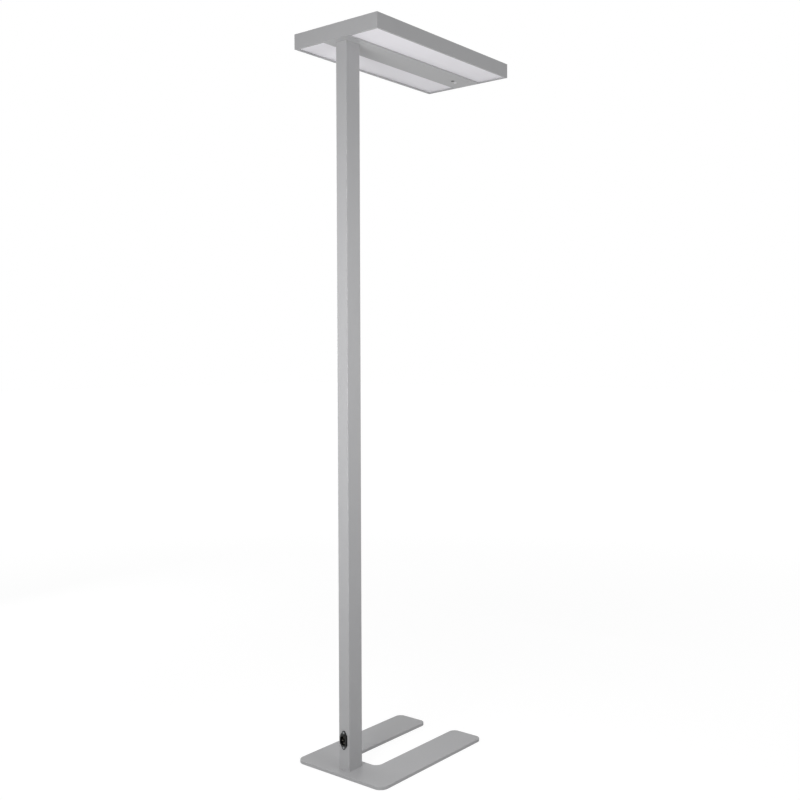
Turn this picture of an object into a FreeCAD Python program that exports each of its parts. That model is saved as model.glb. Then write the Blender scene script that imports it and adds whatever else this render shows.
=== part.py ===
import FreeCAD, Part
import math
import os

# Free-standing office floor lamp: a U-shaped steel foot plate that slides around a
# desk leg, a rectangular aluminium mast and a flat rectangular head with opal panels
# below and above. Millimetres, +Z up, the legs of the foot and the head reach to -Y,
# and the origin lies on the floor under the middle of the whole lamp.

os.makedirs("parts", exist_ok=True)
V = FreeCAD.Vector

# ---------------------------------------------------------------- driving dimensions
total_height = 1950.0

# foot plate, measured from the mast's axis
plate_width = 303.0
plate_rear_reach = 51.8
plate_front_reach = 395.0
plate_thickness = 8.5
plate_rear_corner_radius = 25.0
plate_leg_corner_radius = 19.5
plate_edge_radius = 1.0
slot_width = 100.4
slot_end_reach = 49.5
pad_radius = 11.0
pad_height = 0.8
pad_recess = 0.6

# mast
mast_width = 36.0
mast_depth = 51.5
mast_wall = 2.0
mast_corner_radius = 1.2
mast_inner_radius = 0.8
channel_bore_radius = 2.55
channel_boss_radius = 4.2
channel_boss_inset = 3.9

# mains inlet, an appliance inlet of the standard C14 form set upright
inlet_height = 90.2
inlet_hole_spacing = 40.0
inlet_flange_width = 22.8
inlet_flange_straight = 24.6
inlet_flange_thickness = 2.5
inlet_ear_radius = 5.3
inlet_collar_wall = 1.8
inlet_collar_height = 6.0
inlet_body_length = 26.9
inlet_body_width = 19.5
inlet_body_depth = 14.5
inlet_cavity_length = 24.4
inlet_cavity_width = 16.4
inlet_cavity_depth = 15.5
inlet_chamfer = 5.0
pin_recess = 3.2
earth_pin_recess = 2.2
pin_spacing = 14.0
pin_offset = 2.0
pin_width = 4.0
pin_thickness = 2.0
tab_width = 6.3
tab_thickness = 0.8
tab_length = 8.5

# head, measured from the mast's axis
head_width = 286.0
head_rear_reach = 51.4
head_front_reach = 534.6
head_height = 39.0
head_corner_radius = 1.5
rail_wall = 2.0
rail_sheet = 1.5
side_lip_width = 5.6
rear_lip_width = 7.8
front_lip_width = 3.5
recess_depth = 3.6
rib_reach = 6.0
rib_bottom = 16.0
rib_top = 24.0
ledge_top = 35.5
panel_thickness = 3.0
panel_gap = 0.3

# centre channel of the head and its flush cover
cover_width = 88.8
cover_end_gap = 0.2
sheet = 1.5
channel_width = 76.0
channel_end_inset = 7.8
channel_flange = 10.0
bracket_thickness = 6.0
bracket_width = 60.0
bracket_rear_reach = 40.0
bracket_front_reach = 112.0

# light trays, boards and light-emitting diodes
tray_sheet = 1.0
board_thickness = 1.6
board_width = 60.0
board_end_inset = 45.0
led_size = 3.0
led_height = 0.7
led_rows = 2
leds_per_row = 14

# electrical gear
lead_radius = 3.4
lead_bend_radius = 16.0
lead_offset = 3.5
driver_length = 200.0
driver_width = 34.0
driver_height = 21.0
driver_front = 340.0
board_underside = 12.0

# push-button and light sensor, ahead of the mast's axis
button_reach = 461.0
button_radius = 4.8
button_hole_radius = 5.1
button_proud = 1.2
button_flange_radius = 6.6
button_flange_gap = 0.1
button_flange_thickness = 1.2
spring_radius = 5.0
spring_wire_radius = 0.25
spring_turns = 5
sensor_reach = 480.5
sensor_side = 5.0
lens_radius = 4.3
lens_flange_radius = 6.0

# fasteners: shank radius, head radius
m3_shank, m3_head = 1.5, 2.9
m4_shank, m4_head = 2.0, 3.8
m5_shank, m5_head = 2.5, 4.8
screw_clearance = 0.05

# ---------------------------------------------------------------- places that follow
mast_y = (head_front_reach - plate_rear_reach) / 2
plate_bottom = pad_height
plate_top = plate_bottom + plate_thickness
head_bottom = total_height - head_height
mast_back = mast_y + mast_depth / 2
head_left = -head_width / 2
head_right = head_width / 2
head_front = mast_y - head_front_reach
head_rear = mast_y + head_rear_reach
lead_y = mast_y + lead_offset
channel_floor_top = head_bottom + 2 * sheet
bracket_top = channel_floor_top + bracket_thickness
tray_floor = head_bottom + rib_top
pcb_bottom = head_bottom + board_underside
pcb_top = pcb_bottom + board_thickness


# ---------------------------------------------------------------- shape helpers
def box(x0, x1, y0, y1, z0, z1):
    return Part.makeBox(x1 - x0, y1 - y0, z1 - z0, V(x0, y0, z0))


def post(radius, x, y, z0, z1):
    return Part.makeCylinder(radius, z1 - z0, V(x, y, z0))


def prism(points, height):
    """Straight prism of height along +Z over a closed outline of 3-D points."""
    outline = Part.makePolygon([V(*p) for p in points] + [V(*points[0])])
    return Part.Face(outline).extrude(V(0, 0, height))


def rounded_block(width, depth, height, radius, x, y, z):
    """Upright block centred on (x, y), standing on z, with rounded upright edges."""
    block = box(x - width / 2, x + width / 2, y - depth / 2, y + depth / 2, z, z + height)
    upright = [e for e in block.Edges if abs(e.BoundBox.ZLength - height) < 0.01]
    return block.makeFillet(radius, upright)


def mirrored(shape):
    return shape.mirror(V(0, 0, 0), V(1, 0, 0))


def both_sides(shape):
    return [shape, mirrored(shape)]


def countersunk_screw(shank, head, length):
    """Screw with its flat head at the origin, pointing to -Z, with a hexagon socket."""
    cone_depth = head - shank
    body = Part.makeCone(head, shank, cone_depth, V(0, 0, 0), V(0, 0, -1))
    body = body.fuse(Part.makeCylinder(shank, length, V(0, 0, 0), V(0, 0, -1)))
    return body.cut(hex_prism(shank * 0.62, -shank * 0.9, 0.1)).removeSplitter()


def pan_screw(shank, head, length):
    """Screw with a flat round head standing on the origin and its shank to -Z."""
    head_height_mm = shank * 1.2
    body = Part.makeCylinder(head, head_height_mm)
    rim = [e for e in body.Edges if e.BoundBox.ZMin > head_height_mm - 0.01 and len(e.Vertexes) == 1]
    body = body.makeFillet(head_height_mm * 0.4, rim)
    body = body.fuse(Part.makeCylinder(shank, length, V(0, 0, 0), V(0, 0, -1)))
    return body.cut(hex_prism(shank * 0.7, head_height_mm * 0.45, head_height_mm + 0.1)).removeSplitter()


def hex_prism(inner_radius, z0, z1):
    corner = inner_radius / math.cos(math.pi / 6)
    points = []
    for i in range(6):
        angle = math.pi / 3 * i
        points.append((corner * math.cos(angle), corner * math.sin(angle), z0))
    return prism(points, z1 - z0)


def placed(shape, at, axis=(0, 0, 1)):
    """Copy of a shape with its local +Z turned to axis and its origin moved to at."""
    copy = shape.copy()
    copy.Placement = FreeCAD.Placement(V(*at), FreeCAD.Rotation(V(0, 0, 1), V(*axis)))
    return copy


def group(shapes):
    return Part.makeCompound(shapes)


def cut_all(shape, tools):
    return shape.cut(Part.makeCompound(tools)) if tools else shape


def export(name, shape):
    solids = shape.Solids
    assert solids and all(s.isValid() for s in solids), name
    shape.exportStep("parts/" + name + ".step")
    print(name, len(solids), round(sum(s.Volume for s in solids)))


# ---------------------------------------------------------------- foot
def channel_places():
    """Axes of the four screw channels in the mast."""
    across = mast_width / 2 - mast_wall - channel_boss_inset
    along = mast_depth / 2 - mast_wall - channel_boss_inset
    return [(sx * across, mast_y + sy * along) for sx in (-1, 1) for sy in (-1, 1)]


def pad_places():
    side = plate_width / 2 - 30
    leg = (plate_width + slot_width) / 4
    rear = mast_y + plate_rear_reach - 25
    tip = mast_y - plate_front_reach + 28
    middle = (rear + tip) / 2
    return [(s * x, y) for s in (-1, 1) for x, y in ((side, rear), (leg, middle), (leg, tip))]


def base_plate():
    rear = mast_y + plate_rear_reach
    front = mast_y - plate_front_reach
    plate = box(-plate_width / 2, plate_width / 2, front, rear, plate_bottom, plate_top)
    slot_end = mast_y - slot_end_reach
    slot = box(-slot_width / 2, slot_width / 2, front - 1, slot_end, plate_bottom - 1, plate_top + 1)
    plate = plate.cut(slot)
    upright = [e for e in plate.Edges if abs(e.BoundBox.ZLength - plate_thickness) < 0.01]
    legs = [e for e in upright if e.BoundBox.YMax < slot_end + 1]
    plate = plate.makeFillet(plate_leg_corner_radius, legs)
    rear_corners = [e for e in plate.Edges if e.BoundBox.YMin > rear - 1 and e.BoundBox.XLength < 1]
    plate = plate.makeFillet(plate_rear_corner_radius, rear_corners)
    rims = [e for e in plate.Edges if e.BoundBox.ZLength < 0.01]
    plate = plate.makeFillet(plate_edge_radius, rims)
    cuts = [post(pad_radius, x, y, plate_bottom, plate_bottom + pad_recess) for x, y in pad_places()]
    cone_depth = m5_head - m5_shank
    for x, y in channel_places():
        cuts.append(post(m5_shank + 0.25, x, y, plate_bottom - 1, plate_top + 1))
        wide = m5_head + screw_clearance
        cuts.append(Part.makeCone(wide, wide - cone_depth, cone_depth, V(x, y, plate_bottom)))
    return cut_all(plate, cuts)


def foot_pads():
    return group([post(pad_radius - 0.05, x, y, 0, plate_bottom + pad_recess) for x, y in pad_places()])


def mast_foot_screws():
    screw = countersunk_screw(m5_shank, m5_head, 25)
    return group([placed(screw, (x, y, plate_bottom), (0, 0, -1)) for x, y in channel_places()])


# ---------------------------------------------------------------- mast
def mast_profile():
    length = head_bottom - plate_top
    outer = rounded_block(mast_width, mast_depth, length, mast_corner_radius, 0, mast_y, plate_top)
    inner = rounded_block(mast_width - 2 * mast_wall, mast_depth - 2 * mast_wall, length,
                          mast_inner_radius, 0, mast_y, plate_top)
    bosses = [post(channel_boss_radius, x, y, plate_top, head_bottom) for x, y in channel_places()]
    tube = outer.cut(inner)
    for boss in bosses:
        tube = tube.fuse(boss.common(outer))
    cuts = [post(channel_bore_radius, x, y, plate_top - 1, head_bottom + 1) for x, y in channel_places()]
    half_x = inlet_body_width / 2 + 0.15
    half_z = inlet_body_length / 2 + 0.15
    cuts.append(box(-half_x, half_x, mast_back - 18, mast_back + 1,
                    inlet_height - half_z, inlet_height + half_z))
    for z in inlet_screw_heights():
        cuts.append(placed(Part.makeCylinder(m3_shank + 0.2, 6), (0, mast_back + 1, z), (0, -1, 0)))
    return cut_all(tube, cuts).removeSplitter()


# ---------------------------------------------------------------- mains inlet
def inlet_screw_heights():
    return [inlet_height - inlet_hole_spacing / 2, inlet_height + inlet_hole_spacing / 2]


def upright_prism(outline, y0, y1):
    """Prism over an outline of (x, z) points, from y0 to y1."""
    points = [V(x, y0, inlet_height + z) for x, z in outline]
    return Part.Face(Part.makePolygon(points + [points[0]])).extrude(V(0, y1 - y0, 0))


def socket_outline(width, length, chamfer):
    """C14 outline: two corners on the earth side, +X, are cut off."""
    w, h = width / 2, length / 2
    return [(-w, -h), (w - chamfer, -h), (w, -h + chamfer), (w, h - chamfer), (w - chamfer, h), (-w, h)]


def inlet_pin_places():
    return [(-pin_offset, -pin_spacing / 2), (-pin_offset, pin_spacing / 2)]


def inlet_flange():
    """Flange with straight sides that run tangent into a round ear at each screw."""
    half = inlet_flange_width / 2
    shoulder = inlet_flange_straight / 2
    rise = inlet_hole_spacing / 2 - shoulder
    slope = math.atan2(rise, half) + math.asin(inlet_ear_radius / math.hypot(half, rise))
    touch_x = inlet_ear_radius * math.sin(slope)
    touch_z = inlet_hole_spacing / 2 + inlet_ear_radius * math.cos(slope)
    tip = inlet_hole_spacing / 2 + inlet_ear_radius

    edges = []
    for turn in (1, -1):
        corners = [V(turn * x, mast_back, inlet_height + turn * z) for x, z in
                   ((half, -shoulder), (half, shoulder), (touch_x, touch_z), (0, tip),
                    (-touch_x, touch_z), (-half, shoulder))]
        edges.append(Part.makeLine(corners[0], corners[1]))
        edges.append(Part.makeLine(corners[1], corners[2]))
        edges.append(Part.Arc(corners[2], corners[3], corners[4]).toShape())
        edges.append(Part.makeLine(corners[4], corners[5]))
    return Part.Face(Part.Wire(edges)).extrude(V(0, inlet_flange_thickness, 0))


def inlet_body():
    flange = inlet_flange()
    wall = 2 * inlet_collar_wall
    rim = socket_outline(inlet_cavity_width + wall, inlet_cavity_length + wall, inlet_chamfer)
    collar = upright_prism(rim, mast_back, mast_back + inlet_collar_height)
    shell = socket_outline(inlet_body_width, inlet_body_length, inlet_chamfer)
    body = upright_prism(shell, mast_back - inlet_body_depth, mast_back)
    solid = flange.fuse(collar).fuse(body)
    mouth = mast_back + inlet_collar_height
    hollow = socket_outline(inlet_cavity_width, inlet_cavity_length, inlet_chamfer)
    cuts = [upright_prism(hollow, mouth - inlet_cavity_depth, mouth + 1)]
    for x, z in inlet_pin_places() + [(pin_offset, 0)]:
        cuts.append(pin_blade(x, z, mast_back))
    for z in inlet_screw_heights():
        face = mast_back + inlet_flange_thickness
        cuts.append(placed(Part.makeCylinder(m3_shank + 0.2, 6), (0, face + 1, z), (0, -1, 0)))
        wide = m3_head + screw_clearance
        cone_depth = m3_head - m3_shank
        cuts.append(placed(Part.makeCone(wide, wide - cone_depth, cone_depth), (0, face, z), (0, -1, 0)))
    return cut_all(solid, cuts).removeSplitter()


def pin_blade(x, z, tip):
    half_w, half_t = pin_width / 2, pin_thickness / 2
    middle = inlet_height + z
    return box(x - half_w, x + half_w, mast_back - inlet_body_depth, tip, middle - half_t, middle + half_t)


def inlet_pin(x, z, tip):
    """Blade with a wedge-shaped tip and a flat tab behind the floor of the socket."""
    blade = pin_blade(x, z, tip)
    end = [e for e in blade.Edges if e.BoundBox.YMin > tip - 0.01 and e.BoundBox.XLength > pin_width - 0.1]
    blade = blade.makeChamfer(0.6, end)
    rear = mast_back - inlet_body_depth
    middle = inlet_height + z
    tab = box(x - tab_width / 2, x + tab_width / 2, rear - tab_length, rear,
              middle - tab_thickness / 2, middle + tab_thickness / 2)
    return blade.fuse(tab).removeSplitter()


def inlet_pins():
    tip = mast_back + inlet_collar_height - pin_recess
    return group([inlet_pin(x, z, tip) for x, z in inlet_pin_places()])


def inlet_earth_pin():
    return inlet_pin(pin_offset, 0, mast_back + inlet_collar_height - earth_pin_recess)


def inlet_screws():
    screw = countersunk_screw(m3_shank, m3_head, 9)
    face = mast_back + inlet_flange_thickness
    return group([placed(screw, (0, face, z), (0, 1, 0)) for z in inlet_screw_heights()])


def inlet_nuts():
    nuts = []
    wall = mast_back - mast_wall
    for z in inlet_screw_heights():
        plate = box(-5, 5, wall - 2, wall, z - 4, z + 4)
        hole = placed(Part.makeCylinder(m3_shank + screw_clearance, 4), (0, wall + 1, z), (0, -1, 0))
        nuts.append(plate.cut(hole))
    return group(nuts)


def tab_receptacles():
    """Push-on receptacles on the three tabs of the inlet."""
    pieces = []
    rear = mast_back - inlet_body_depth - 0.5
    for x, z in inlet_pin_places() + [(pin_offset, 0)]:
        middle = inlet_height + z
        sleeve = box(x - 3.9, x + 3.9, rear - 9, rear, middle - 1.5, middle + 1.5)
        gap = box(x - tab_width / 2 - 0.05, x + tab_width / 2 + 0.05, rear - 8.2, rear + 1,
                  middle - tab_thickness / 2 - 0.05, middle + tab_thickness / 2 + 0.05)
        pieces.append(sleeve.cut(gap))
    return group(pieces)


def inlet_boot():
    """Insulating boot over the tabs, with the lead's entry in its top."""
    front = mast_back - inlet_body_depth
    shell = box(-12.5, 12.5, front - 16, front, inlet_height - 16, inlet_height + 16)
    shell = shell.makeFillet(2.0, [e for e in shell.Edges if e.BoundBox.YMax < front - 0.1])
    hollow = box(-11, 11, front - 14.5, front + 1, inlet_height - 14.5, inlet_height + 14.5)
    entry = post(lead_radius + 2, 0, lead_y, inlet_height + 15.5, inlet_height + 24)
    bore = post(lead_radius + 0.05, 0, lead_y, inlet_height + 10, inlet_height + 25)
    return shell.fuse(entry).cut(hollow).cut(bore).removeSplitter()


def mains_lead():
    """Sheathed lead from the boot up the mast and forward to the terminal block."""
    low = inlet_height + 13
    bend = bracket_top
    level = bend + lead_bend_radius
    face = mast_y - 72
    middle = math.sqrt(0.5) * lead_bend_radius
    centre = V(0, lead_y - lead_bend_radius, bend)
    rise = Part.LineSegment(V(0, lead_y, low), V(0, lead_y, bend)).toShape()
    top = centre + V(0, 0, lead_bend_radius)
    turn = Part.Arc(V(0, lead_y, bend), centre + V(0, middle, middle), top).toShape()
    run = Part.LineSegment(V(0, centre.y, level), V(0, face, level)).toShape()
    path = Part.Wire([rise, turn, run])
    ring = Part.Wire([Part.Circle(V(0, lead_y, low), V(0, 0, 1), lead_radius).toShape()])
    tube = path.makePipeShell([ring], True, False)
    print("mains lead radius", lead_bend_radius, "volume over section times length",
          round(tube.Volume / (math.pi * lead_radius ** 2 * path.Length), 4))
    return tube


def lead_grommet():
    flange = post(8.4, 0, lead_y, bracket_top, bracket_top + 1.2)
    sleeve = post(6.95, 0, lead_y, channel_floor_top, bracket_top)
    bore = post(lead_radius + 0.5, 0, lead_y, channel_floor_top - 1, bracket_top + 2)
    return sleeve.fuse(flange).cut(bore).removeSplitter()


# ---------------------------------------------------------------- head frame
def rail_section(lip):
    """Rail section as (inward, up) points from the lower outer edge.

    A wide lip is a sheet with an upturned edge, and a narrow one is solid.
    """
    r = rail_wall
    s = rail_sheet
    section = [(0, 0), (lip, 0), (lip, recess_depth)]
    if lip > r + 2 * s:
        section += [(lip - s, recess_depth), (lip - s, s), (r, s)]
    else:
        section += [(r, recess_depth)]
    return section + [(r, rib_bottom), (rib_reach, rib_bottom), (rib_reach, rib_top), (r, rib_top),
                      (r, ledge_top - s), (rib_reach, ledge_top - s), (rib_reach, ledge_top),
                      (r, ledge_top), (r, head_height), (0, head_height)]


def side_rail():
    """Right-hand rail with mitred ends."""
    section = rail_section(side_lip_width)
    points = [V(head_right - u, head_front - 1, head_bottom + w) for u, w in section]
    length = head_rear - head_front + 2
    rail = Part.Face(Part.makePolygon(points + [points[0]])).extrude(V(0, length, 0))
    wedge = head_width
    front = prism([(head_right + 1, head_front - 1, head_bottom - 1),
                   (head_right - wedge, head_front - 1, head_bottom - 1),
                   (head_right - wedge, head_front + wedge, head_bottom - 1)], head_height + 2)
    rear = prism([(head_right + 1, head_rear + 1, head_bottom - 1),
                  (head_right - wedge, head_rear + 1, head_bottom - 1),
                  (head_right - wedge, head_rear - wedge, head_bottom - 1)], head_height + 2)
    return rounded_corner_envelope(rail.cut(front).cut(rear))


def end_rail(outer_y, inward, lip):
    """Front or rear rail with mitred ends, and the threaded holes for the channel."""
    points = [V(head_left - 1, outer_y + inward * u, head_bottom + w) for u, w in rail_section(lip)]
    rail = Part.Face(Part.makePolygon(points + [points[0]])).extrude(V(head_width + 2, 0, 0))
    wedge = head_width
    cuts = []
    for side in (-1, 1):
        edge = side * head_width / 2
        cuts.append(prism([(edge + side, outer_y - inward, head_bottom - 1),
                           (edge + side, outer_y + inward * wedge, head_bottom - 1),
                           (edge - side * wedge, outer_y + inward * wedge, head_bottom - 1)],
                          head_height + 2))
    for x in channel_end_screw_offsets():
        mouth = (x, outer_y + inward * (rib_reach + 0.5), head_bottom + (rib_bottom + rib_top) / 2)
        cuts.append(placed(Part.makeCylinder(m4_shank + screw_clearance, 4.5), mouth, (0, -inward, 0)))
    return rounded_corner_envelope(cut_all(rail, cuts))


def rounded_corner_envelope(rail):
    envelope = rounded_block(head_width, head_rear - head_front, head_height, head_corner_radius,
                             0, (head_rear + head_front) / 2, head_bottom)
    return rail.common(envelope)


def cleat_level():
    return head_bottom + (rib_bottom + rib_top) / 2


def cleat_corners():
    """Inner corner of the ribs and the inward directions, for each corner of the head."""
    corners = []
    for side in (-1, 1):
        x = side * (head_width / 2 - rib_reach)
        corners.append((x, head_front + rib_reach, -side, 1))
        corners.append((x, head_rear - rib_reach, -side, -1))
    return corners


cleat_leg = 28.0
cleat_thickness = 3.0
cleat_half_height = 3.8
cleat_screw_offset = 18.0


def corner_cleats():
    pieces = []
    for x, y, dx, dy in cleat_corners():
        low = cleat_level() - cleat_half_height
        leg = cleat_leg
        t = cleat_thickness
        points = [(x, y, low), (x + dx * leg, y, low), (x + dx * leg, y + dy * t, low),
                  (x + dx * t, y + dy * t, low), (x + dx * t, y + dy * leg, low), (x, y + dy * leg, low)]
        cleat = prism(points, 2 * cleat_half_height)
        for at, axis in cleat_screw_places(x, y, dx, dy):
            cleat = cleat.cut(placed(Part.makeCylinder(m3_shank + 0.1, 12), at, [-a for a in axis]))
        pieces.append(cleat)
    return group(pieces)


def cleat_screw_places(x, y, dx, dy):
    """Head seats of the two screws of one cleat, and the way each head faces."""
    z = cleat_level()
    t = cleat_thickness
    return [((x + dx * cleat_screw_offset, y + dy * t, z), (0, dy, 0)),
            ((x + dx * t, y + dy * cleat_screw_offset, z), (dx, 0, 0))]


def cleat_screws():
    screw = pan_screw(m3_shank, m3_head, 6)
    pieces = []
    for corner in cleat_corners():
        for at, axis in cleat_screw_places(*corner):
            pieces.append(placed(screw, at, axis))
    return group(pieces)


def drilled_for_cleats(rail):
    """Blind threaded holes in the ribs for the cleats' screws."""
    cuts = []
    for corner in cleat_corners():
        for at, axis in cleat_screw_places(*corner):
            cuts.append(placed(Part.makeCylinder(m3_shank + screw_clearance, 6.1), at, [-a for a in axis]))
    return cut_all(rail, cuts)


# ---------------------------------------------------------------- centre of the head
def channel_end_screw_offsets():
    return [-30.0, 30.0]


def stud_places():
    return [(x, mast_y - reach) for x in (-30, 30) for reach in (126, 355, 515)]


def spine_cover():
    """Flush cover between the two lower panels, with upstands that carry their edges."""
    front = head_front + front_lip_width + cover_end_gap
    rear = head_rear - rear_lip_width - cover_end_gap
    half = cover_width / 2
    floor = box(-half, half, front, rear, head_bottom, head_bottom + sheet)
    upstand = box(half - sheet, half, front, rear, head_bottom, head_bottom + recess_depth)
    cover = floor.fuse(both_sides(upstand)).removeSplitter()
    holes = [post(button_hole_radius, 0, mast_y - button_reach, head_bottom - 1, head_bottom + 5),
             post(lens_radius + 0.05, sensor_side, mast_y - sensor_reach, head_bottom - 1, head_bottom + 5),
             post(7, 0, lead_y, head_bottom - 1, head_bottom + 5)]
    for x, y in channel_places():
        holes.append(post(m5_shank + 0.25, x, y, head_bottom - 1, head_bottom + 5))
    return cut_all(cover, holes)


def cover_studs():
    """Studs welded to the cover's upper face."""
    return group([post(m3_shank, x, y, head_bottom + sheet, head_bottom + 9) for x, y in stud_places()])


def stud_nuts():
    nuts = []
    for x, y in stud_places():
        nut = hex_prism(2.75, 0, 2.4).cut(post(m3_shank + screw_clearance, 0, 0, -1, 4))
        nuts.append(placed(nut, (x, y, channel_floor_top)))
    return group(nuts)


def centre_channel():
    front = head_front + channel_end_inset
    rear = head_rear - channel_end_inset
    half = channel_width / 2
    low = head_bottom + sheet
    top = head_bottom + ledge_top
    shape = box(-half, half, front, rear, low, low + sheet)
    wall = box(half - sheet, half, front, rear, low, top)
    flange = box(half - channel_flange, half, front, rear, top - sheet, top)
    side = wall.fuse(flange)
    tab_low = head_bottom + 9
    tab_high = head_bottom + 30
    for y0, y1 in ((head_front + rib_reach, front), (rear, head_rear - rib_reach)):
        side = side.fuse(box(half - 14, half, y0, y1, tab_low, tab_high))
    shape = shape.fuse(both_sides(side)).removeSplitter()
    cuts = [post(button_hole_radius, 0, mast_y - button_reach, low - 1, low + 3),
            post(lens_radius + 0.05, sensor_side, mast_y - sensor_reach, low - 1, low + 3),
            post(7, 0, lead_y, low - 1, low + 3)]
    for x, y in channel_places():
        cuts.append(post(m5_shank + 0.25, x, y, low - 1, low + 3))
    for x, y in stud_places():
        cuts.append(post(m3_shank + 0.2, x, y, low - 1, low + 3))
    for x, y in standoff_places():
        cuts.append(post(1.6, x, y, low - 1, low + 3))
    for x, y in driver_screw_places():
        cuts.append(post(m3_shank + screw_clearance, x, y, low - 1, low + 3))
    for x, y in top_screw_places():
        cuts.append(post(m3_shank + screw_clearance, x, y, top - 3, top + 1))
    for x in channel_end_screw_offsets():
        at = (x, head_front - 1, cleat_level())
        cuts.append(placed(Part.makeCylinder(m4_shank + 0.2, head_rear - head_front + 2), at, (0, 1, 0)))
    for y in tray_screw_places():
        at = (-half - 1, y, tray_screw_level())
        cuts.append(placed(Part.makeCylinder(m3_shank + screw_clearance, channel_width + 2), at, (1, 0, 0)))
    at = (-half - 1, led_lead_y(), led_lead_level())
    cuts.append(placed(Part.makeCylinder(3.0, channel_width + 2), at, (1, 0, 0)))
    return cut_all(shape, cuts).removeSplitter()


def channel_end_screws():
    screw = pan_screw(m4_shank, m4_head, 5)
    pieces = []
    for x in channel_end_screw_offsets():
        pieces.append(placed(screw, (x, head_front + channel_end_inset, cleat_level()), (0, 1, 0)))
        pieces.append(placed(screw, (x, head_rear - channel_end_inset, cleat_level()), (0, -1, 0)))
    return group(pieces)


def head_bracket():
    half = bracket_width / 2
    front = mast_y - bracket_front_reach
    rear = mast_y + bracket_rear_reach
    plate = box(-half, half, front, rear, channel_floor_top, bracket_top)
    upright = [e for e in plate.Edges if abs(e.BoundBox.ZLength - bracket_thickness) < 0.01]
    plate = plate.makeFillet(4, upright)
    cuts = [post(7, 0, lead_y, channel_floor_top - 1, bracket_top + 1)]
    for x, y in channel_places():
        cuts.append(post(m5_shank + 0.25, x, y, channel_floor_top - 1, bracket_top + 1))
    for x, y in block_screw_places() + [earth_place()]:
        cuts.append(post(m3_shank + screw_clearance, x, y, bracket_top - 5, bracket_top + 1))
    return cut_all(plate, cuts)


def head_bracket_screws():
    screw = pan_screw(m5_shank, m5_head, 25)
    return group([placed(screw, (x, y, bracket_top)) for x, y in channel_places()])


def top_screw_places():
    inset = channel_width / 2 - 5
    return [(sx * inset, y) for sx in (-1, 1) for y in (head_front + 20, mast_y - 240, head_rear - 20)]


def top_cover():
    half = channel_width / 2
    low = head_bottom + ledge_top
    inset = rail_wall + panel_gap
    cover = box(-half, half, head_front + inset, head_rear - inset, low, low + sheet)
    holes = [post(m3_shank + 0.2, x, y, low - 1, low + 3) for x, y in top_screw_places()]
    return cut_all(cover, holes)


def top_cover_screws():
    screw = pan_screw(m3_shank, m3_head, 5)
    top = head_bottom + ledge_top + sheet
    return group([placed(screw, (x, y, top)) for x, y in top_screw_places()])


# ---------------------------------------------------------------- light trays and panels
def tray_screw_level():
    return tray_floor + 6


def tray_screw_places():
    return [head_front + 60, mast_y - 241, head_rear - 60]


def board_ends():
    return head_front + board_end_inset, head_rear - board_end_inset


def board_middle():
    return (channel_width / 2 + head_width / 2 - rail_wall) / 2


def rivet_places():
    front, rear = board_ends()
    half = board_width / 2 - 6
    return [(board_middle() + sx * half, y) for sx in (-1, 1) for y in (front + 12, rear - 12)]


def gear_tray():
    """Right-hand tray: a floor on the ribs, an upstand on the channel and a ledge."""
    inner = channel_width / 2 + 0.1
    outer = head_width / 2 - rail_wall - 0.4
    front = head_front + rail_wall + 0.4
    rear = head_rear - rail_wall - 0.4
    floor = box(inner, outer, front, rear, tray_floor, tray_floor + tray_sheet)
    clear_front = head_front + rib_reach + 0.3
    clear_rear = head_rear - rib_reach - 0.3
    top = head_bottom + ledge_top
    upstand = box(inner, inner + tray_sheet, clear_front, clear_rear, tray_floor, top)
    ledge = box(inner, inner + 7, clear_front, clear_rear, top - tray_sheet, top)
    tray = floor.fuse([upstand, ledge]).removeSplitter()
    cuts = [post(m3_shank + screw_clearance, x, y, tray_floor - 1, tray_floor + 3) for x, y in rivet_places()]
    for y in tray_screw_places():
        at = (inner - 1, y, tray_screw_level())
        cuts.append(placed(Part.makeCylinder(m3_shank + 0.2, 4), at, (1, 0, 0)))
    return cut_all(tray, cuts)


def tray_screws():
    screw = pan_screw(m3_shank, m3_head, 5)
    pieces = []
    for y in tray_screw_places():
        seat = channel_width / 2 + 0.1 + tray_sheet
        pieces.append(placed(screw, (seat, y, tray_screw_level()), (1, 0, 0)))
        pieces.append(placed(screw, (-seat, y, tray_screw_level()), (-1, 0, 0)))
    return group(pieces)


def led_board(low):
    """Right-hand circuit board that lies on one face of the tray."""
    front, rear = board_ends()
    half = board_width / 2
    middle = board_middle()
    board = box(middle - half, middle + half, front, rear, low, low + board_thickness)
    holes = [post(m3_shank + screw_clearance, x, y, low - 1, low + 3) for x, y in rivet_places()]
    return cut_all(board, holes)


def leds(low):
    """Right-hand rows of light-emitting diodes."""
    front, rear = board_ends()
    pitch = (rear - front) / leds_per_row
    pieces = []
    for row in range(led_rows):
        x = board_middle() + (row - (led_rows - 1) / 2) * board_width / led_rows
        for i in range(leds_per_row):
            y = front + pitch * (i + 0.5)
            half = led_size / 2
            pieces.append(box(x - half, x + half, y - half, y + half, low, low + led_height))
    return group(pieces)


def board_rivets():
    """Double-headed rivets that clamp both boards to the tray, right-hand side."""
    low = tray_floor - board_thickness
    high = tray_floor + tray_sheet + board_thickness
    pieces = []
    for x, y in rivet_places():
        rivet = post(m3_shank, x, y, low, high)
        rivet = rivet.fuse([post(3, x, y, low - 1, low), post(3, x, y, high, high + 1)])
        pieces.append(rivet.removeSplitter())
    return pieces


def panel(low):
    """Right-hand opal panel, from the channel's wall to the rail's wall."""
    inner = channel_width / 2 + panel_gap
    outer = head_width / 2 - rail_wall - panel_gap
    front = head_front + rail_wall + panel_gap
    rear = head_rear - rail_wall - panel_gap
    return box(inner, outer, front, rear, low, low + panel_thickness)


# ---------------------------------------------------------------- electrical gear
def block_screw_places():
    return [(-22, mast_y - 82.5), (22, mast_y - 82.5)]


def earth_place():
    return (18, mast_y - 50)


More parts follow.
